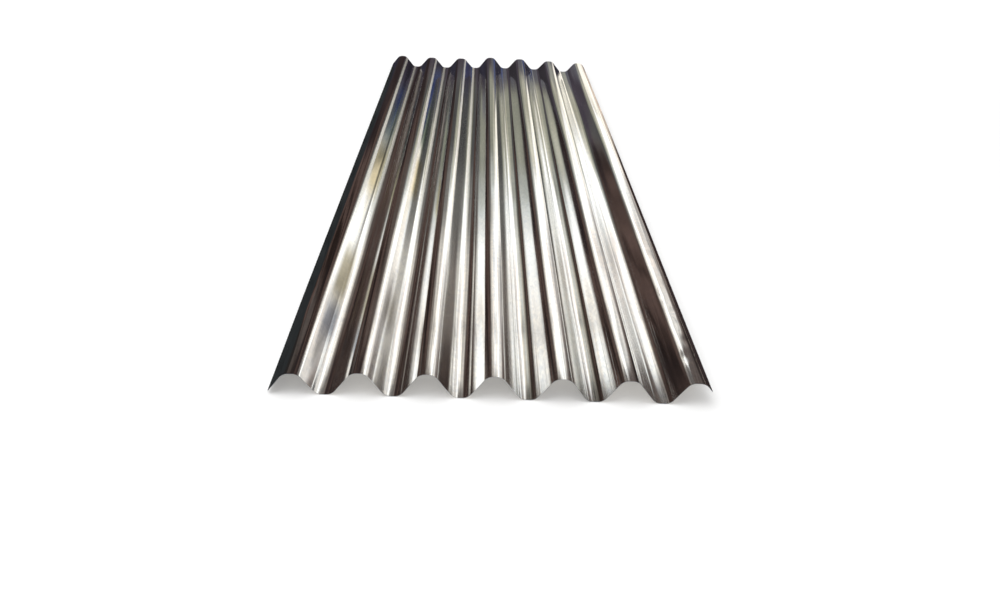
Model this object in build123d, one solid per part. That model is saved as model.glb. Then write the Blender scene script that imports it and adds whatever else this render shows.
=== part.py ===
from build123d import *
import math
import os

# A corrugated steel sheet, rolled from one flat sheet of galvanised steel.
# It lies flat with its valleys down. X runs across the waves, Y along them, Z up.
# The origin is under the middle of the sheet, in the plane that its valleys rest on.

# The flat sheet that goes into the rolls
SHEET_LENGTH = 2400.0
SHEET_THICKNESS = 0.8

# The wave, measured on the middle of the sheet's thickness
WAVE_PITCH = 105.0
WAVE_DEPTH = 36.0
CREST_COUNT = 7
BEND_RADIUS = 18.0
CREST_FLAT = 6.0
VALLEY_FLAT = 6.0

# The straight lip left below the last bend along each long edge
LEFT_LIP = 27.0
RIGHT_LIP = 9.0


def rolled_flank():
    """The straight flank's length and its slope in degrees, from the pitch and the depth."""
    run = WAVE_PITCH / 2 - (CREST_FLAT + VALLEY_FLAT) / 2
    both_radii = 2 * BEND_RADIUS
    rise = WAVE_DEPTH - both_radii
    length = math.sqrt(run**2 + rise**2 - both_radii**2)
    slope = math.degrees(math.atan2(rise, run) + math.atan2(both_radii, length))
    return length, slope


def wave_steps():
    """The way along the sheet from its left edge: a straight run, or a bend as a turn in degrees."""
    flank, slope = rolled_flank()
    crest = [("bend", -slope), ("run", CREST_FLAT), ("bend", -slope)]
    valley = [("run", flank), ("bend", slope), ("run", VALLEY_FLAT), ("bend", slope), ("run", flank)]
    steps = [("run", LEFT_LIP)] + crest
    for _ in range(CREST_COUNT - 1):
        steps += valley + crest
    return steps + [("run", RIGHT_LIP)]


def face_line(shift):
    """One face of the sheet in section, at a distance to the left of the way along its middle."""
    heading = rolled_flank()[1]
    across = Vector(0, shift).rotate(Axis.Z, heading)
    line = []
    for kind, size in wave_steps():
        start = line[-1] @ 1 if line else across
        if kind == "run":
            line.append(PolarLine(start, size, angle=heading))
        else:
            radius = BEND_RADIUS - shift if size > 0 else BEND_RADIUS + shift
            line.append(JernArc(start, Vector(1, 0).rotate(Axis.Z, heading), radius, size))
            heading += size
    return line


def sheet_section():
    """The closed section, drawn with X across the waves and Y up."""
    upper = face_line(SHEET_THICKNESS / 2)
    lower = face_line(-SHEET_THICKNESS / 2)
    left_cut = Line(lower[0] @ 0, upper[0] @ 0)
    right_cut = Line(lower[-1] @ 1, upper[-1] @ 1)
    return make_face([left_cut, *upper, right_cut, *lower])


def corrugated_sheet():
    """The section drawn out along Y, and set down with its middle over the origin."""
    sheet = extrude(Plane.XZ * sheet_section(), amount=SHEET_LENGTH)
    middle = sheet.bounding_box().center()
    return Pos(-middle.X, -middle.Y, -sheet.bounding_box().min.Z) * sheet


os.makedirs("parts", exist_ok=True)
export_step(corrugated_sheet(), "parts/corrugated_sheet.step")
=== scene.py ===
import math

import bpy
from mathutils import Matrix, Vector, noise


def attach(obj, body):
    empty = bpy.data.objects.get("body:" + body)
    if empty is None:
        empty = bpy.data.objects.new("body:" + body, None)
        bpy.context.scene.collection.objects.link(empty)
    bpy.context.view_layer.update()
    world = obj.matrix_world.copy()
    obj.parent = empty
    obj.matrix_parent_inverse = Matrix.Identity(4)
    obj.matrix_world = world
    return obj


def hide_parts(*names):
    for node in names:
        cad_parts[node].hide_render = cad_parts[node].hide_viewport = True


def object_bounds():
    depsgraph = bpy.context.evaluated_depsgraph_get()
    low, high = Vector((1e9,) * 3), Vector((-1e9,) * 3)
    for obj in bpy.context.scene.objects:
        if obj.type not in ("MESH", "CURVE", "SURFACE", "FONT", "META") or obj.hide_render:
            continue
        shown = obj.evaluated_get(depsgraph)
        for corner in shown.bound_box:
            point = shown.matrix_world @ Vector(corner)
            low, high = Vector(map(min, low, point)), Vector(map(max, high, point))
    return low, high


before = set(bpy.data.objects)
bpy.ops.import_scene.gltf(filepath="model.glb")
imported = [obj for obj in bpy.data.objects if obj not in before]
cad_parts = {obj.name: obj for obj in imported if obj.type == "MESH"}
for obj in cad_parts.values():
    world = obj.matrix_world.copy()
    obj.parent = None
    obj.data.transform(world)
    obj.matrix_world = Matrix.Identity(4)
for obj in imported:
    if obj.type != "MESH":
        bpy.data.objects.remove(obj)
cad_low, cad_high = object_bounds()

# Sizes of the sheet are in millimetres, and MM turns them into Blender's metres.
MM = 0.001

# The rolled wave, the same as in the part's source, measured on the middle of the thickness
SHEET_THICKNESS = 0.8
WAVE_PITCH = 105.0
WAVE_DEPTH = 36.0
CREST_COUNT = 7
BEND_RADIUS = 18.0
CREST_FLAT = 6.0
VALLEY_FLAT = 6.0
LEFT_LIP = 27.0
RIGHT_LIP = 9.0
# The lips differ, so that the middle crest lies this far right of the origin.
CREST_SHIFT = 5.7

# How finely the sheet is divided: across each run and bend, and along its length.
# The stations stand closer together at the near end, where the camera is close.
BEND_STEPS = 7
FLANK_STEPS = 4
FLAT_STEPS = 2
STATIONS = 184
NEAR_SPACING_SHARE = 0.5
# Neighbouring faces that meet at more than this are shaded as an edge.
SHARP_ANGLE = math.radians(50)

# What rolling and handling did to the flat steel: long waves down the sheet and soft dimples.
# Each follows a noise, and the last value chooses which slice of it.
LONG_WAVE_HEIGHT = 0.35
LONG_WAVE_WIDTH = 300.0
LONG_WAVE_LENGTH = 640.0
LONG_WAVE_SLICE = 4.7
DIMPLE_HEIGHT = 0.12
DIMPLE_WIDTH = 38.0
DIMPLE_LENGTH = 230.0
DIMPLE_SLICE = 11.3

# How many degrees the normals of each face are turned, to the right where it is positive: the left
# lip, then one row for each wave from the left with its crest, its right flank, the valley and the
# next wave's left flank. The turn runs evenly from the middle of one face to the middle of the
# next. A search fitted the turns to the bands that the sheet shows in the photograph. The lip's
# turn and the first two of the first wave were then set one by one. The largest are more than steel
# springs out of line, and the sheet's outline stays as it was rolled.
LIP_TURN = -4.0
WAVE_TURNS = (
    (-19.0, -10.0, 2.0, 0.0),
    (-2.5, -6.0, 0.0, 0.0),
    (-1.0, -2.5, -1.0, 0.0),
    (0.0, 0.0, 0.0, 2.5),
    (3.5, 2.0, -6.0, 2.0),
    (6.0, 0.0, -2.5, 12.0),
    (8.0,),
)
# Narrow lines beside the first crests and valleys, as if pressed in by the rolls, where the normals
# are turned further: (place across the sheet, half width, turn in degrees)
ROLL_LINES = (
    (-299.5, 5.0, -6.0),
    (-262.0, 4.0, 6.0),
    (-158.0, 4.0, 5.0),
    (-54.5, 4.0, 3.0),
)

# Small dents that handling left on the last crest, near the cut end:
# (across, along, half width, half length, depth)
HANDLING_DENTS = (
    (313.0, -560.0, 5.0, 16.0, 0.22),
    (322.0, -640.0, 6.0, 20.0, 0.30),
    (316.0, -705.0, 4.0, 14.0, 0.25),
    (325.0, -790.0, 7.0, 26.0, 0.35),
    (314.0, -860.0, 5.0, 18.0, 0.30),
    (323.0, -935.0, 5.0, 15.0, 0.38),
    (317.0, -990.0, 6.0, 22.0, 0.32),
    (327.0, -1050.0, 5.0, 17.0, 0.30),
    (315.0, -1110.0, 6.0, 20.0, 0.35),
)

# How far each crest and valley stands off the rolled height at the two ends, from the left edge to
# the right: lip, crest, valley, crest and so on. Both ends sprang a little when they were cut, and
# each lift fades out over its length.
NEAR_END_LIFTS = (-4.0, -1.5, 0.0, 2.0, 0.0, 3.0, 0.0, 2.5, 0.0, 1.5, 0.0, 2.0, 0.0, 1.0)
FAR_END_LIFTS = (0.0, 0.0, 0.0, -2.5, 0.0, -2.0, 2.5, 4.5, 5.0, 3.0, 4.5, -1.0, 0.0, -4.0)
NEAR_LIFT_LENGTH = 420.0
FAR_LIFT_LENGTH = 900.0


def rolled_flank():
    """The straight flank's length in millimetres and its slope in radians."""
    run = WAVE_PITCH / 2 - (CREST_FLAT + VALLEY_FLAT) / 2
    both_radii = 2 * BEND_RADIUS
    rise = WAVE_DEPTH - both_radii
    length = math.sqrt(run**2 + rise**2 - both_radii**2)
    return length, math.atan2(rise, run) + math.atan2(both_radii, length)


def wave_steps():
    """The way across the sheet from its left edge: (turn, length, how many steps to draw it in)."""
    flank, slope = rolled_flank()
    down = (-slope, BEND_RADIUS * slope, BEND_STEPS)
    up = (slope, BEND_RADIUS * slope, BEND_STEPS)
    side = (0.0, flank, FLANK_STEPS)
    crest = [down, (0.0, CREST_FLAT, FLAT_STEPS), down]
    valley = [side, up, (0.0, VALLEY_FLAT, FLAT_STEPS), up, side]
    steps = [(0.0, LEFT_LIP, FLANK_STEPS)] + crest
    for _ in range(CREST_COUNT - 1):
        steps += valley + crest
    return steps + [(0.0, RIGHT_LIP, FLAT_STEPS)]


def section_points():
    """Points on the middle of the section: (x, z, normal x, normal z, distance along the steel)."""
    heading = rolled_flank()[1]
    x = z = along = 0.0
    points = [(x, z, -math.sin(heading), math.cos(heading), along)]
    for turn, length, count in wave_steps():
        for _ in range(count):
            part = length / count
            middle = heading + turn / count / 2
            x += part * math.cos(middle)
            z += part * math.sin(middle)
            heading += turn / count
            along += part
            points.append((x, z, -math.sin(heading), math.cos(heading), along))
    half = SHEET_THICKNESS / 2
    left = min(x - abs(nx) * half for x, z, nx, nz, along in points)
    right = max(x + abs(nx) * half for x, z, nx, nz, along in points)
    low = min(z - nz * half for x, z, nx, nz, along in points)
    return [(x - (left + right) / 2, z - low, nx, nz, along) for x, z, nx, nz, along in points]


def stations(length):
    """Places along the sheet, close together at the near end and wider apart at the far one."""
    places = []
    for i in range(STATIONS + 1):
        t = i / STATIONS
        share = NEAR_SPACING_SHARE * t + (1 - NEAR_SPACING_SHARE) * t * t
        places.append((share - 0.5) * length)
    return places


def first_crest():
    """The place across the sheet of the leftmost crest's middle."""
    return CREST_SHIFT - WAVE_PITCH * (CREST_COUNT - 1) / 2


def face_turn(x):
    """The turn in radians of the normals at this place across the sheet."""
    turns = [LIP_TURN] + [turn for wave in WAVE_TURNS for turn in wave]
    spacing = WAVE_PITCH / len(WAVE_TURNS[0])
    at = min(len(turns) - 1.0, max(0.0, (x - first_crest()) / spacing + 1))
    i = min(int(at), len(turns) - 2)
    turn = turns[i] + (turns[i + 1] - turns[i]) * (at - i)
    for place, half_width, pressed in ROLL_LINES:
        turn += pressed * math.exp(-(((x - place) / half_width) ** 2))
    return math.radians(turn)


def turn_faces(mesh):
    """Turns the normals of the upper and lower skin by the turn of the face they lie on. The cut
    edges, which have the second material, keep theirs."""
    normals = [normal.vector.copy() for normal in mesh.corner_normals]
    turned = {}
    for polygon in mesh.polygons:
        if polygon.material_index:
            continue
        for corner in polygon.loop_indices:
            vertex = mesh.loops[corner].vertex_index
            if vertex not in turned:
                turn = face_turn(mesh.vertices[vertex].co.x / MM)
                turned[vertex] = (math.sin(turn), math.cos(turn))
            sine, cosine = turned[vertex]
            x, y, z = normals[corner]
            normals[corner] = (x * cosine + z * sine, y, z * cosine - x * sine)
    mesh.normals_split_custom_set(normals)


def stand_off(x, y, along):
    """How far the steel stands off its rolled line: long waves, soft dimples and dents."""
    wave_place = Vector((along / LONG_WAVE_WIDTH, y / LONG_WAVE_LENGTH, LONG_WAVE_SLICE))
    dimple_place = Vector((along / DIMPLE_WIDTH, y / DIMPLE_LENGTH, DIMPLE_SLICE))
    off = noise.noise(wave_place) * LONG_WAVE_HEIGHT + noise.noise(dimple_place) * DIMPLE_HEIGHT
    for across, down, half_width, half_length, depth in HANDLING_DENTS:
        away = ((x - across) / half_width) ** 2 + ((y - down) / half_length) ** 2
        off -= depth * math.exp(-away)
    return off


def ease(share):
    """0 to 1 with a soft start and a soft end, as steel bends."""
    share = min(1.0, max(0.0, share))
    return share * share * (3 - 2 * share)


def end_lift(x, y, left_edge, half_length):
    """The lift between two neighbouring crests and valleys, fading out from each end."""
    turning_places = [first_crest() + i * WAVE_PITCH / 2 for i in range(2 * CREST_COUNT - 1)]
    places = [left_edge] + turning_places
    i = max(i for i in range(len(places)) if i == 0 or places[i] <= x)
    lift = 0.0
    for lifts, reach, away in (
        (NEAR_END_LIFTS, NEAR_LIFT_LENGTH, y + half_length),
        (FAR_END_LIFTS, FAR_LIFT_LENGTH, half_length - y),
    ):
        here = lifts[i]
        if i + 1 < len(places):
            share = ease((x - places[i]) / (places[i + 1] - places[i]))
            here += (lifts[i + 1] - here) * share
        lift += here * ease(1 - away / reach)
    return lift


def sheet_mesh():
    """The closed sheet: an upper and a lower face that follow the waves, and four cut edges."""
    points = section_points()
    length = (cad_high.y - cad_low.y) / MM
    places = stations(length)
    left_edge = points[0][0]
    verts = []
    for half in (SHEET_THICKNESS / 2, -SHEET_THICKNESS / 2):
        for y in places:
            for x, z, nx, nz, along in points:
                off = stand_off(x, y, along) + half
                lift = end_lift(x, y, left_edge, length / 2)
                verts.append(Vector((x + nx * off, y, z + nz * off + lift)) * MM)
    lowest = min(vert.z for vert in verts)
    for vert in verts:
        vert.z -= lowest
    wide = len(points)
    deep = len(places)
    under = wide * deep
    faces = []
    for j in range(deep - 1):
        for i in range(wide - 1):
            a = j * wide + i
            faces.append((a, a + 1, a + wide + 1, a + wide))
            faces.append((under + a, under + a + wide, under + a + wide + 1, under + a + 1))
    skin = len(faces)
    for near in range(wide - 1):
        far = (deep - 1) * wide + near
        faces.append((near, under + near, under + near + 1, near + 1))
        faces.append((far, far + 1, under + far + 1, under + far))
    for j in range(deep - 1):
        left = j * wide
        right = left + wide - 1
        faces.append((left, left + wide, under + left + wide, under + left))
        faces.append((right, under + right, under + right + wide, right + wide))
    mesh = bpy.data.meshes.new("corrugated_sheet_rolled")
    mesh.from_pydata(verts, [], faces)
    for polygon in mesh.polygons:
        polygon.use_smooth = True
        polygon.material_index = 0 if polygon.index < skin else 1
    mesh.set_sharp_from_angle(angle=SHARP_ANGLE)
    turn_faces(mesh)
    mesh.update()
    return mesh


def linear(hex_colour, level=1.0):
    """An sRGB hex colour as linear red, green and blue times the level, with a full alpha."""
    channels = [int(hex_colour[i : i + 2], 16) / 255 for i in (1, 3, 5)]
    channels = [c / 12.92 if c <= 0.04045 else ((c + 0.055) / 1.055) ** 2.4 for c in channels]
    return tuple(c * level for c in channels) + (1.0,)


# A Mix node that is set to colours keeps its factor, its two colours and its result here.
MIX_FACTOR, MIX_FROM, MIX_TO = 0, 6, 7
MIX_RESULT = 2


def add(tree, kind, settings=None, links=None):
    """Adds a node. Settings name its properties and sockets. Links join its sockets to the outputs
    of other nodes, and a node by itself stands for its first output."""
    node = tree.nodes.new(kind)
    for name, value in (settings or {}).items():
        if isinstance(name, int) or name in node.inputs:
            node.inputs[name].default_value = value
        else:
            setattr(node, name, value)
    for name, source in (links or {}).items():
        output = source.outputs[0] if isinstance(source, bpy.types.Node) else source
        tree.links.new(output, node.inputs[name])
    return node


def new_material(name):
    material = bpy.data.materials.new(name)
    material.use_nodes = True
    material.node_tree.nodes.clear()
    return material, material.node_tree


def stencil(tree, across, along, left, right, near, far, side_border, end_border):
    """1 inside the four edges and 0 outside, with soft borders. None leaves a side open."""
    mask = None
    for value, edge, inward, border in (
        (across, left, 1, side_border),
        (across, right, -1, side_border),
        (along, near, 1, end_border),
        (along, far, -1, end_border),
    ):
        if edge is None:
            continue
        step = add(
            tree,
            "ShaderNodeMapRange",
            {
                "interpolation_type": "SMOOTHSTEP",
                "From Min": edge - inward * border,
                "From Max": edge + inward * border,
            },
            {"Value": value},
        )
        if mask is None:
            mask = step
        else:
            mask = add(tree, "ShaderNodeMath", {"operation": "MULTIPLY"}, {0: mask, 1: step})
    return mask


# Zinc freezes in grains about 9 mm across, each a slightly different grey.
SPANGLE_SIZE = 9.0

# The polished rolls left streaks about 2 mm wide and half a metre long, a few thousandths of a
# millimetre high, and broader bands of better and worse polish between them. The real streaks are
# a few tenths of a millimetre wide: they are drawn coarser, because those don't show.
STREAK_WIDTH = 2.2
STREAK_LENGTH = 480.0
STREAK_HEIGHT = 0.006
POLISH_BAND_WIDTH = 26.0
POLISH_BAND_LENGTH = 700.0
BEST_POLISH = 0.055
WORST_POLISH = 0.105
# The streaks and the bands are two noises that each lie near a half, and nearly all of their sum
# lies between these two.
POLISH_SUM_LOW, POLISH_SUM_HIGH = 0.7, 1.3
# How strongly the finer parts of a grain or a fold show
FINE_GRAIN_SHARE = 0.6

# Dragging left hair-thin scuffs in patches by the near end. They begin at the first of two places
# along the sheet and are thickest past the second. They too are drawn coarser than the real ones.
SCUFF_WIDTH = 1.3
SCUFF_LENGTH = 900.0
SCUFF_DEPTH = 0.03
SCUFF_PATCH_WIDTH = 30.0
SCUFF_PATCH_LENGTH = 500.0
SCUFF_START = -600.0
SCUFF_FULL = -1150.0
SCUFF_BLUR = 0.14
# A scuff or a patch begins where its noise rises past the first value, and is full at the second.
SCUFF_LINE_SPAN = (0.56, 0.68)
SCUFF_PATCH_SPAN = (0.42, 0.60)
# How much of the scuffs' grey shows on the darkest and on the palest grains of the spangle
SCUFF_GREY_SPAN = (0.35, 0.50)

# Where the bends slid along the rolls the zinc is rougher, with a painted highlight, fainter at the
# near end:
# (place across the sheet, half width)
RUBBED_AND_HIGHLIGHT_LINES = (
    (-292.3, 3.0),
    (-263.4, 3.5),
    (-188.0, 3.0),
    (-158.0, 3.7),
    (-84.0, 2.6),
    (-54.3, 3.7),
)
RUBBED_AND_HIGHLIGHT_BORDER = 1.2
RUBBED_AND_HIGHLIGHT_FULL = 150.0
RUBBED_AND_HIGHLIGHT_FAINT = -450.0
RUBBED_AND_HIGHLIGHT_FAINT_SHARE = 0.12
RUBBED_BLUR = 0.28

# Painted reflection: faint bands of blue, straw and brown multiplied into the zinc's colour on the
# first flanks, and greyer along the bottom of two valleys, standing in for what those faces mirror:
# (name, left, right, near, far, border across, border along, colour)
PAINTED_REFLECTION_BANDS = (
    ("violet", -289.0, -270.0, 830.0, 1400.0, 4.0, 90.0, "#B2ACC6"),
    ("blue", -289.0, -270.0, 540.0, 860.0, 4.0, 90.0, "#A4B2D2"),
    ("teal", -289.0, -270.0, 200.0, 560.0, 4.0, 90.0, "#BCD0D0"),
    ("straw", -289.0, -270.0, -260.0, 100.0, 4.0, 90.0, "#E6D8B4"),
    ("brown", -289.0, -270.0, -880.0, -620.0, 4.0, 80.0, "#A39B84"),
    ("slate", -289.0, -270.0, -1020.0, -900.0, 4.0, 45.0, "#A8ADB8"),
    ("second_blue", -184.0, -171.0, 520.0, 900.0, 4.0, 90.0, "#96A6D0"),
    ("second_teal", -184.0, -173.0, 120.0, 520.0, 4.0, 90.0, "#9EBCAE"),
    ("second_straw", -184.0, -170.0, -300.0, -10.0, 4.0, 60.0, "#DCCCA8"),
    ("second_slate", -187.0, -172.0, -990.0, -860.0, 4.0, 60.0, "#BAB6B0"),
    ("third_blue", -81.0, -66.0, 640.0, 1400.0, 4.0, 140.0, "#A6A8D4"),
    ("valley_grey", 56.0, 67.0, -1400.0, -60.0, 2.0, 160.0, "#C2C2BC"),
    ("next_valley_grey", 161.0, 173.0, -1400.0, -60.0, 2.0, 160.0, "#BEBEB8"),
)


def rolled_grain(tree, place, width, length, detail):
    """A grain that the rolls drew out along the sheet, of this width and length in millimetres."""
    drawn = add(tree, "ShaderNodeMapping", {"Scale": (1, width / length, 1)}, {"Vector": place})
    return add(
        tree,
        "ShaderNodeTexNoise",
        {"Scale": 1 / (width * MM), "Detail": detail, "Roughness": FINE_GRAIN_SHARE},
        {"Vector": drawn},
    )


def dragged_scuffs(tree, place, along):
    """1 on a scuff and 0 between them: lines, within patches, and only by the near end."""
    scuffs = None
    for value, (start, full) in (
        (rolled_grain(tree, place, SCUFF_WIDTH, SCUFF_LENGTH, 1.0), SCUFF_LINE_SPAN),
        (rolled_grain(tree, place, SCUFF_PATCH_WIDTH, SCUFF_PATCH_LENGTH, 0.0), SCUFF_PATCH_SPAN),
        (along, (SCUFF_START * MM, SCUFF_FULL * MM)),
    ):
        share = add(
            tree, "ShaderNodeMapRange", {"From Min": start, "From Max": full}, {"Value": value}
        )
        if scuffs is None:
            scuffs = share
        else:
            scuffs = add(tree, "ShaderNodeMath", {"operation": "MULTIPLY"}, {0: scuffs, 1: share})
    return scuffs


def rubbed_satin_and_painted_highlight(tree, across, along):
    """1 on the rubbed lines beside the first bends, rougher and with a painted highlight, fading to
    a faint trace at the near end.
    """
    rubbed_and_highlight = None
    for middle, half_width in RUBBED_AND_HIGHLIGHT_LINES:
        left, right = (middle - half_width) * MM, (middle + half_width) * MM
        line = stencil(tree, across, along, left, right, None, None, RUBBED_AND_HIGHLIGHT_BORDER * MM, None)
        if rubbed_and_highlight is None:
            rubbed_and_highlight = line
        else:
            rubbed_and_highlight = add(tree, "ShaderNodeMath", {"operation": "MAXIMUM"}, {0: rubbed_and_highlight, 1: line})
    fade = add(
        tree,
        "ShaderNodeMapRange",
        {
            "From Min": RUBBED_AND_HIGHLIGHT_FAINT * MM,
            "From Max": RUBBED_AND_HIGHLIGHT_FULL * MM,
            "To Min": RUBBED_AND_HIGHLIGHT_FAINT_SHARE,
            "To Max": 1.0,
        },
        {"Value": along},
    )
    return add(tree, "ShaderNodeMath", {"operation": "MULTIPLY"}, {0: rubbed_and_highlight, 1: fade})


def zinc_colour(tree, place, across, along, scuffs, rubbed_and_highlight):
    """Pale grey zinc, greyer in the scuffs, with painted reflection tints in bands, and a painted
    highlight, paler, on the rubbed lines.
    """
    spangle = add(
        tree, "ShaderNodeTexVoronoi", {"Scale": 1 / (SPANGLE_SIZE * MM)}, {"Vector": place}
    )
    grain = add(tree, "ShaderNodeSeparateColor", links={0: spangle.outputs["Color"]})
    zinc = add(
        tree,
        "ShaderNodeMix",
        {"data_type": "RGBA", MIX_FROM: linear("#E2E5E8"), MIX_TO: linear("#EEEFEE")},
        {MIX_FACTOR: grain},
    )
    least, most = SCUFF_GREY_SPAN
    dulling = add(tree, "ShaderNodeMapRange", {"To Min": least, "To Max": most}, {"Value": grain})
    dulled = add(tree, "ShaderNodeMath", {"operation": "MULTIPLY"}, {0: scuffs, 1: dulling})
    colour = add(
        tree,
        "ShaderNodeMix",
        {"data_type": "RGBA", MIX_TO: linear("#B4B2AE")},
        {MIX_FACTOR: dulled, MIX_FROM: zinc.outputs[MIX_RESULT]},
    )
    # Painted reflection: each band multiplies a tint into the zinc's colour.
    for name, left, right, near, far, side_border, end_border, tint in PAINTED_REFLECTION_BANDS:
        edges = [edge * MM for edge in (left, right, near, far, side_border, end_border)]
        colour = add(
            tree,
            "ShaderNodeMix",
            {"data_type": "RGBA", "blend_type": "MULTIPLY", "label": name, MIX_TO: linear(tint)},
            {
                MIX_FACTOR: stencil(tree, across, along, *edges),
                MIX_FROM: colour.outputs[MIX_RESULT],
            },
        )
    # Painted highlight: the rubbed lines are painted near white, paler than the zinc.
    satin_and_painted_highlight = add(
        tree,
        "ShaderNodeMix",
        {"data_type": "RGBA", MIX_TO: linear("#FBFBF8")},
        {MIX_FACTOR: rubbed_and_highlight, MIX_FROM: colour.outputs[MIX_RESULT]},
    )
    return satin_and_painted_highlight.outputs[MIX_RESULT]


def galvanised_steel():
    """Hot-dip galvanised steel, passed through polished rolls. The zinc is nearly a mirror, drawn
    out into streaks along the sheet, and its spangle shows only close by."""
    material, tree = new_material("hot_dip_galvanised_steel")
    place = add(tree, "ShaderNodeTexCoord").outputs["Object"]
    split = add(tree, "ShaderNodeSeparateXYZ", links={0: place})
    across, along = split.outputs["X"], split.outputs["Y"]
    streaks = rolled_grain(tree, place, STREAK_WIDTH, STREAK_LENGTH, 2.0)
    bands = rolled_grain(tree, place, POLISH_BAND_WIDTH, POLISH_BAND_LENGTH, 1.0)
    scuffs = dragged_scuffs(tree, place, along)
    # The rubbed lines are rougher, and carry a painted highlight.
    rubbed_and_highlight = rubbed_satin_and_painted_highlight(tree, across, along)

    both = add(tree, "ShaderNodeMath", {"operation": "ADD"}, {0: streaks, 1: bands})
    polish = add(
        tree,
        "ShaderNodeMapRange",
        {
            "From Min": POLISH_SUM_LOW,
            "From Max": POLISH_SUM_HIGH,
            "To Min": BEST_POLISH,
            "To Max": WORST_POLISH,
        },
        {"Value": both},
    )
    blur = {"operation": "MULTIPLY_ADD"}
    scuffed = add(tree, "ShaderNodeMath", {**blur, 1: SCUFF_BLUR}, {0: scuffs, 2: polish})
    roughness = add(tree, "ShaderNodeMath", {**blur, 1: RUBBED_BLUR}, {0: rubbed_and_highlight, 2: scuffed})

    streaked = add(tree, "ShaderNodeBump", {"Distance": STREAK_HEIGHT * MM}, {"Height": streaks})
    scratched = add(
        tree,
        "ShaderNodeBump",
        {"Distance": SCUFF_DEPTH * MM},
        {"Height": scuffs, "Normal": streaked},
    )
    shader = add(
        tree,
        "ShaderNodeBsdfPrincipled",
        {"Metallic": 1.0},
        {
            "Base Color": zinc_colour(tree, place, across, along, scuffs, rubbed_and_highlight),
            "Roughness": roughness,
            "Normal": scratched,
        },
    )
    add(tree, "ShaderNodeOutputMaterial", links={"Surface": shader})
    return material


def sheared_edge():
    """The guillotined edge: bare steel with zinc dragged over it, duller than the faces."""
    material, tree = new_material("sheared_steel_edge")
    shader = add(
        tree,
        "ShaderNodeBsdfPrincipled",
        {"Base Color": linear("#B9BFC6"), "Metallic": 1.0, "Roughness": 0.42},
    )
    add(tree, "ShaderNodeOutputMaterial", links={"Surface": shader})
    return material


def put(name, data):
    thing = bpy.data.objects.new(name, data)
    bpy.context.scene.collection.objects.link(thing)
    return thing


def build_sheet():
    sheet = put("corrugated_sheet_steel", sheet_mesh())
    sheet.data.materials.append(galvanised_steel())
    sheet.data.materials.append(sheared_edge())
    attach(sheet, "root")
    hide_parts("corrugated_sheet")


# The studio. All its sizes and places are in metres.
# The world lights the sheet a little less than the white that shows, which is a strength of 1.
WORLD_LIGHT = 0.8
FLOOR_REACH = 9.0
# The floor is lifted to white where it is seen, more so far from the sheet, where less light falls.
FLOOR_LIFT_NEAR, FLOOR_LIFT_FAR = 0.17, 0.42
LIFT_START, LIFT_END = 1.6, 5.0
# A broad softbox above the sheet, a little to the left and towards the camera
SOFTBOX_PLACE = Vector((-1.5, -0.8, 5.0))
SOFTBOX_SIDE = 6.0
SOFTBOX_WATTS = 150.0


def seen(tree):
    """1 for camera, glossy and transmission rays, so that metal shows the same white as the eye."""
    path = add(tree, "ShaderNodeLightPath")
    first = add(
        tree,
        "ShaderNodeMath",
        {"operation": "MAXIMUM"},
        {0: path.outputs["Is Camera Ray"], 1: path.outputs["Is Glossy Ray"]},
    )
    return add(
        tree,
        "ShaderNodeMath",
        {"operation": "MAXIMUM"},
        {0: first, 1: path.outputs["Is Transmission Ray"]},
    )


def white_world():
    world = bpy.data.worlds.new("white_studio")
    bpy.context.scene.world = world
    world.use_nodes = True
    tree = world.node_tree
    tree.nodes.clear()
    white = {"Color": linear("#FFFFFF")}
    lit = add(tree, "ShaderNodeBackground", {**white, "Strength": WORLD_LIGHT})
    shown = add(tree, "ShaderNodeBackground", {**white, "Strength": 1.0})
    mix = add(tree, "ShaderNodeMixShader", links={0: seen(tree), 1: lit, 2: shown})
    add(tree, "ShaderNodeOutputWorld", links={"Surface": mix})


def flat_card(name, corners):
    mesh = bpy.data.meshes.new(name)
    mesh.from_pydata([Vector(corner) for corner in corners], [], [tuple(range(len(corners)))])
    card = put(name, mesh)
    return card


def standing_across(left, right, bottom, top, y):
    return [(left, y, bottom), (right, y, bottom), (right, y, top), (left, y, top)]


def standing_along(near, far, bottom, top, x):
    return [(x, near, bottom), (x, far, bottom), (x, far, top), (x, near, top)]


def lying(left, right, near, far, z):
    return [(left, near, z), (right, near, z), (right, far, z), (left, far, z)]


def studio_floor():
    """A plain pale floor, lifted to white where it is seen, that keeps the sheet's shadow. From
    below it is clear, so that the sheet's underside shows."""
    floor = flat_card("floor", lying(-FLOOR_REACH, FLOOR_REACH, -FLOOR_REACH, FLOOR_REACH, 0))
    material, tree = new_material("pale_studio_floor")
    paint = add(tree, "ShaderNodeBsdfDiffuse", {"Color": linear("#E6E6E6")})
    place = add(tree, "ShaderNodeTexCoord").outputs["Object"]
    away = add(tree, "ShaderNodeVectorMath", {"operation": "LENGTH"}, {0: place})
    glow = add(
        tree,
        "ShaderNodeMapRange",
        {
            "From Min": LIFT_START,
            "From Max": LIFT_END,
            "To Min": FLOOR_LIFT_NEAR,
            "To Max": FLOOR_LIFT_FAR,
        },
        {"Value": away.outputs["Value"]},
    )
    glow = add(tree, "ShaderNodeMath", {"operation": "MULTIPLY"}, {0: glow, 1: seen(tree)})
    lift = add(tree, "ShaderNodeEmission", links={"Strength": glow})
    both = add(tree, "ShaderNodeAddShader", links={0: paint, 1: lift})
    clear = add(tree, "ShaderNodeBsdfTransparent")
    side = add(tree, "ShaderNodeNewGeometry")
    mix = add(
        tree, "ShaderNodeMixShader", links={0: side.outputs["Backfacing"], 1: both, 2: clear}
    )
    add(tree, "ShaderNodeOutputMaterial", links={"Surface": mix})
    floor.data.materials.append(material)


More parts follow.
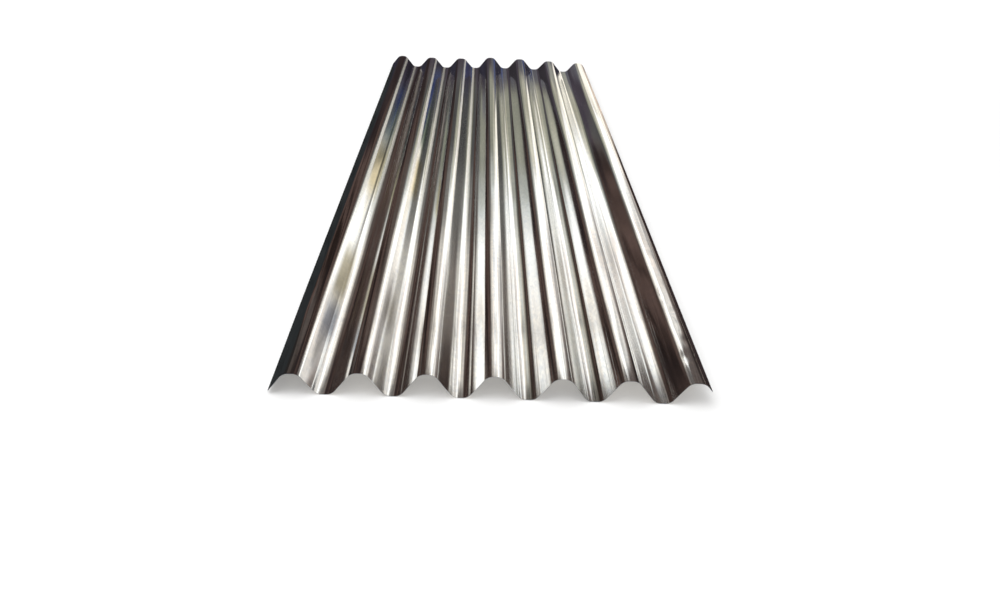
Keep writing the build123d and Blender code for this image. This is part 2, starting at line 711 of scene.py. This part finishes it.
# What the zinc mirrors, laid out after the bands that the sheet shows in the photograph, so it fits
# from that viewpoint and is a guess from any other. Each wall is one card that only the metal sees.
# It has a ground colour, and boards and softboxes on it, the later ones in front:
# (name, left, right, bottom, top, lean, side border, end border, colour, brightness)
# Lean is how far the sides lean to the left for each metre up, a border is how soft an edge is, and
# the colour is the one that the zinc shows. None is an edge of the wall itself.
WALL_REACH = 3.6
WALL_HEIGHT = 3.6
FAR_WALL_PLACE = 2.5
BACK_WALL_PLACE = -5.0
FAR_WALL_GROUND = "#4D3E39"
FAR_WALL = (
    ("open_softbox", 0.24, 1.70, 0.40, None, 0.00, 0.05, 0.10, "#FFFDF8", 1.16),
    ("warm_rise", 0.24, 0.44, 1.36, None, 0.00, 0.05, 0.12, "#FFF5E8", 1.15),
    ("pale_panel", 1.02, 1.70, 0.36, 1.70, 0.00, 0.10, 0.10, "#DCD7D0", 1.0),
    ("pink_panel", 0.50, 1.40, 1.02, 1.28, 0.00, 0.25, 0.06, "#F1E6DC", 1.0),
    ("low_cream", 0.50, 1.24, None, 0.40, 0.00, 0.05, 0.05, "#F1EADF", 1.05),
    ("grey_panel", 1.22, None, None, 1.04, 0.00, 0.08, 0.06, "#A8A29D", 1.0),
    ("brown_panel", 1.60, None, None, None, 0.00, 0.10, 0.10, "#827872", 1.0),
    ("dark_panel", 1.83, None, None, None, 0.00, 0.08, 0.10, "#564C48", 1.0),
    ("right_end", 2.02, None, None, None, 0.00, 0.06, 0.10, "#342D2B", 1.0),
    ("roof_slope", 3.23, None, 1.10, None, 1.15, 0.12, 0.10, "#564D49", 1.0),
    ("high_pale", -0.95, -0.66, 1.35, 1.80, 0.00, 0.12, 0.12, "#5A4D47", 1.0),
    ("grey_curtain", -0.64, -0.34, 0.74, None, 0.00, 0.08, 0.10, "#524843", 1.0),
    ("curtain_top", -0.56, -0.28, 1.28, None, 0.00, 0.06, 0.20, "#766C65", 1.0),
    ("grey_board", -0.31, -0.03, 0.28, None, 0.00, 0.08, 0.10, "#4A4948", 1.0),
    ("grey_middle", -0.31, -0.03, 0.82, None, 0.00, 0.06, 0.12, "#7E7B76", 1.0),
    ("dim_rise", -0.32, -0.03, 1.20, None, 0.00, 0.05, 0.14, "#CCC5BB", 1.0),
    ("pale_wall", -0.05, 0.25, 0.84, None, 0.00, 0.025, 0.08, "#CCC6BB", 1.0),
    ("white_wall", -0.05, 0.25, 1.30, None, 0.00, 0.02, 0.16, "#FFF4E6", 1.14),
    ("white_corner", 0.06, 0.25, 1.05, None, 0.00, 0.03, 0.14, "#FFFEFA", 1.08),
    ("olive_board", -0.05, 0.26, 0.38, 0.80, 0.00, 0.03, 0.06, "#8A897B", 1.0),
    ("light_olive", 0.20, 0.46, 0.40, 0.84, 0.00, 0.06, 0.05, "#C3BFAE", 1.0),
    ("olive_step", 0.20, 0.46, 0.38, 0.58, 0.00, 0.06, 0.05, "#A39F8E", 1.0),
    ("olive_glow", -0.05, 0.24, 0.78, 0.96, 0.00, 0.03, 0.06, "#ABACA4", 1.0),
    ("pale_streak", 0.00, 0.30, 0.96, 1.00, 0.00, 0.03, 0.02, "#DCE2E0", 1.1),
    ("cream_corner", 0.45, 0.90, 0.17, 0.46, 0.00, 0.04, 0.07, "#F8F1E1", 1.1),
    ("violet_strip", -0.45, 0.46, None, 0.34, 0.00, 0.05, 0.04, "#3E383F", 1.0),
    ("middle_strip", 0.04, 0.42, 0.20, 0.38, 0.00, 0.05, 0.03, "#5C5A60", 1.0),
    ("blue_strip", 0.12, 0.47, 0.04, 0.24, 0.00, 0.04, 0.04, "#3F4662", 1.0),
    ("pale_blue", 0.30, 0.47, 0.26, 0.38, 0.00, 0.04, 0.03, "#8E8D84", 1.0),
    ("low_violet", -0.60, 0.13, None, 0.17, 0.00, 0.06, 0.03, "#2C292D", 1.0),
    ("left_pale", -2.30, -1.70, 0.62, 1.18, 0.00, 0.12, 0.10, "#4E4642", 1.0),
    ("dark_patch", -1.58, -1.28, 0.84, 1.22, 0.00, 0.08, 0.10, "#241D1C", 1.0),
    ("dark_corner", None, -1.62, 1.22, None, 0.00, 0.12, 0.08, "#2B2423", 1.0),
    ("left_end", None, -2.14, None, 0.90, 0.00, 0.06, 0.10, "#262423", 1.0),
    ("flag_edge", -1.10, -0.34, 0.14, 0.46, 0.00, 0.06, 0.05, "#2F2626", 1.0),
    ("low_brown", -1.10, -0.55, None, 0.20, 0.00, 0.10, 0.04, "#2E2829", 1.0),
    ("roof_line", -0.50, 1.02, 2.02, None, 0.00, 0.10, 0.03, "#5C5754", 1.0),
    ("beam", -0.42, 0.42, 1.63, 1.68, 0.00, 0.08, 0.02, "#8E8680", 1.0),
    ("dark_loft", None, -0.62, 1.90, None, 0.00, 0.12, 0.15, "#362C2B", 1.0),
)
LEFT_WALL_GROUND = "#A69E96"
LEFT_WALL = (
    ("long_softbox", -2.20, 1.60, 0.95, 1.70, 0.00, 0.25, 0.12, "#FFF6EA", 1.07),
    ("near_flag", None, -2.40, None, 2.20, 0.00, 0.20, 0.20, "#5C5855", 1.0),
    ("low_flag", None, None, None, 0.78, 0.00, 0.20, 0.14, "#3C3937", 1.0),
    ("high_flag", None, None, 2.30, None, 0.00, 0.20, 0.30, "#8D8A87", 1.0),
)
RIGHT_WALL_GROUND = "#A8A198"
RIGHT_WALL = (
    ("long_softbox", -1.40, 2.20, 0.95, 1.90, 0.00, 0.25, 0.15, "#FFF6EA", 1.07),
    ("far_flag", 1.10, None, None, 2.20, 0.00, 0.25, 0.20, "#6A6460", 1.0),
    ("low_flag", None, None, None, 0.76, 0.00, 0.20, 0.15, "#474340", 1.0),
)
BACK_WALL_GROUND = "#9A9794"
BACK_WALL = (
    ("wide_softbox", -1.10, 1.50, 1.20, 2.60, 0.00, 0.12, 0.20, "#FFFFFF", 1.05),
    ("left_flag", None, -1.20, None, None, 0.00, 0.15, 0.20, "#4C4642", 1.0),
    ("middle_flag", -0.20, 0.25, None, None, 0.10, 0.06, 0.20, "#6E6C6A", 1.0),
    ("low_flag", None, None, None, 1.00, 0.00, 0.20, 0.15, "#4A4846", 1.0),
)
# On the ceiling and the floor, bottom and top are near and far. The card on the floor lies just
# above the real one, and only the zinc sees it.
CEILING_GROUND = "#928B84"
CEILING = (
    ("first_softbox", -1.90, -0.75, -2.60, 2.20, 0.00, 0.15, 0.30, "#FFF6EA", 1.07),
    ("second_softbox", 0.35, 1.70, -2.60, 2.20, 0.00, 0.15, 0.30, "#FFF6EA", 1.07),
    ("between_flag", -0.62, 0.15, None, None, 0.00, 0.15, 0.30, "#5A5653", 1.0),
)
MIRRORED_FLOOR_HEIGHT = 0.0006
MIRRORED_FLOOR_GROUND = "#D6CFC5"
MIRRORED_FLOOR = (
    ("left_flag", None, -0.30, None, None, 0.00, 0.02, 0.10, "#282A2B", 1.0),
    ("right_flag", 0.33, None, None, 0.45, 0.00, 0.02, 0.30, "#332929", 1.0),
    ("warm_floor", 0.33, None, 0.45, 1.80, 0.00, 0.02, 0.35, "#C4B3A3", 1.0),
    ("far_flag", -1.40, 0.36, 1.22, None, 0.00, 0.04, 0.02, "#2C2A34", 1.0),
)
# The zinc gives back less than it gets, so the boards are this much brighter than their colours.
BOARD_BRIGHTNESS = 1.34

# The walls hang in upright folds about 9 cm wide and 75 cm high, with stains about 22 cm across, so
# that no board is one flat colour. The ground is darkest in its folds.
FOLDS_PER_METRE = 11.0
FOLD_HEIGHT_SHARE = 0.12
STAINS_PER_METRE = 4.5
FOLD_DARK, FOLD_LIGHT = 0.74, 1.18
STAIN_DARK, STAIN_LIGHT = 0.74, 1.16
GROUND_IN_FOLD = 0.30
# Nearly all of a noise lies between the first two values. The bottom of a fold ends at the third,
# and its side at the fourth.
NOISE_LOW, NOISE_HIGH = 0.3, 0.7
FOLD_BOTTOM, FOLD_SIDE = 0.40, 0.56


def mirrored_wall(name, corners, axes, boards, ground):
    """A wall of boards and softboxes. It is seen by the metal alone, and lights nothing else."""
    wall = flat_card(name, corners)
    wall.visible_camera = False
    wall.visible_diffuse = False
    wall.visible_shadow = False
    wall.visible_transmission = False
    material, tree = new_material(name + "_boards")
    place = add(tree, "ShaderNodeTexCoord").outputs["Object"]
    split = add(tree, "ShaderNodeSeparateXYZ", links={0: place})
    across, up = split.outputs[axes[0]], split.outputs[axes[1]]

    hanging = add(
        tree, "ShaderNodeMapping", {"Scale": (1.0, 1.0, FOLD_HEIGHT_SHARE)}, {"Vector": place}
    )
    folds = add(
        tree,
        "ShaderNodeTexNoise",
        {"Scale": FOLDS_PER_METRE, "Detail": 2.0, "Roughness": FINE_GRAIN_SHARE},
        {"Vector": hanging},
    )
    stains = add(
        tree, "ShaderNodeTexNoise", {"Scale": STAINS_PER_METRE, "Detail": 1.0}, {"Vector": place}
    )
    out_of_fold = add(
        tree,
        "ShaderNodeMapRange",
        {"From Min": FOLD_BOTTOM, "From Max": FOLD_SIDE},
        {"Value": folds},
    )
    colour = add(
        tree,
        "ShaderNodeMix",
        {
            "data_type": "RGBA",
            MIX_FROM: linear(ground, GROUND_IN_FOLD),
            MIX_TO: linear(ground),
        },
        {MIX_FACTOR: out_of_fold},
    )
    for board, left, right, bottom, top, lean, side_border, end_border, paint, level in boards:
        leaning = across
        if lean:
            leaning = add(
                tree,
                "ShaderNodeMath",
                {"operation": "MULTIPLY_ADD", 1: lean},
                {0: up, 2: across},
            )
        shape = stencil(tree, leaning, up, left, right, bottom, top, side_border, end_border)
        colour = add(
            tree,
            "ShaderNodeMix",
            {"data_type": "RGBA", "label": board, MIX_TO: linear(paint, level)},
            {MIX_FACTOR: shape, MIX_FROM: colour.outputs[MIX_RESULT]},
        )

    noise_span = {"From Min": NOISE_LOW, "From Max": NOISE_HIGH}
    fold_light = add(
        tree,
        "ShaderNodeMapRange",
        {**noise_span, "To Min": FOLD_DARK, "To Max": FOLD_LIGHT},
        {"Value": folds},
    )
    stain_light = add(
        tree,
        "ShaderNodeMapRange",
        {**noise_span, "To Min": STAIN_DARK, "To Max": STAIN_LIGHT},
        {"Value": stains},
    )
    light = add(
        tree, "ShaderNodeMath", {"operation": "MULTIPLY"}, {0: fold_light, 1: stain_light}
    )
    strength = add(
        tree, "ShaderNodeMath", {"operation": "MULTIPLY", 1: BOARD_BRIGHTNESS}, {0: light}
    )
    glow = add(
        tree,
        "ShaderNodeEmission",
        links={"Color": colour.outputs[MIX_RESULT], "Strength": strength},
    )
    add(tree, "ShaderNodeOutputMaterial", links={"Surface": glow})
    wall.data.materials.append(material)


def mirrored_studio():
    wide, high, far, back = WALL_REACH, WALL_HEIGHT, FAR_WALL_PLACE, BACK_WALL_PLACE
    far_corners = standing_across(-wide, wide, 0.0, high, far)
    back_corners = standing_across(-wide, wide, 0.0, high, back)
    left_corners = standing_along(back, far, 0.0, high, -wide)
    right_corners = standing_along(back, far, 0.0, high, wide)
    high_corners = lying(-wide, wide, back, far, high)
    low_corners = lying(-wide, wide, back, far, MIRRORED_FLOOR_HEIGHT)
    mirrored_wall("far_wall", far_corners, "XZ", FAR_WALL, FAR_WALL_GROUND)
    mirrored_wall("back_wall", back_corners, "XZ", BACK_WALL, BACK_WALL_GROUND)
    mirrored_wall("left_wall", left_corners, "YZ", LEFT_WALL, LEFT_WALL_GROUND)
    mirrored_wall("right_wall", right_corners, "YZ", RIGHT_WALL, RIGHT_WALL_GROUND)
    mirrored_wall("ceiling", high_corners, "XY", CEILING, CEILING_GROUND)
    mirrored_wall("mirrored_floor", low_corners, "XY", MIRRORED_FLOOR, MIRRORED_FLOOR_GROUND)


def key_softbox():
    light = bpy.data.lights.new("key_softbox", "AREA")
    light.shape = "RECTANGLE"
    light.size = SOFTBOX_SIDE
    light.size_y = SOFTBOX_SIDE
    light.energy = SOFTBOX_WATTS
    lamp = put("key_softbox", light)
    lamp.location = SOFTBOX_PLACE
    lamp.rotation_euler = (-SOFTBOX_PLACE).to_track_quat("-Z", "Y").to_euler()
    lamp.visible_glossy = False


# The camera, fitted to both cut ends of the sheet in the photograph: its place in metres, its pan,
# tilt and roll in radians, and its focal length in the photograph's own pixels
CAMERA_PLACE = Vector((-0.03216, -2.63244, 0.81527))
CAMERA_PAN = 0.02816
CAMERA_TILT = 0.42351
CAMERA_ROLL = 0.04127
FOCAL_PIXELS = 1059.31
IMAGE_WIDTH_PIXELS = 1000
SENSOR_WIDTH = 36.0


def camera():
    """The photograph's viewpoint: panned from +Y towards +X, tilted down and rolled."""
    lens = bpy.data.cameras.new("camera")
    lens.sensor_width = SENSOR_WIDTH
    lens.lens = FOCAL_PIXELS * SENSOR_WIDTH / IMAGE_WIDTH_PIXELS
    view = put("camera", lens)
    pan = Matrix.Rotation(-CAMERA_PAN, 4, "Z")
    tilt = Matrix.Rotation(math.pi / 2 - CAMERA_TILT, 4, "X")
    roll = Matrix.Rotation(CAMERA_ROLL, 4, "Z")
    view.matrix_world = Matrix.Translation(CAMERA_PLACE) @ pan @ tilt @ roll
    bpy.context.scene.camera = view


build_sheet()
white_world()
studio_floor()
mirrored_studio()
key_softbox()
camera()
bpy.context.scene.view_settings.view_transform = "Standard"
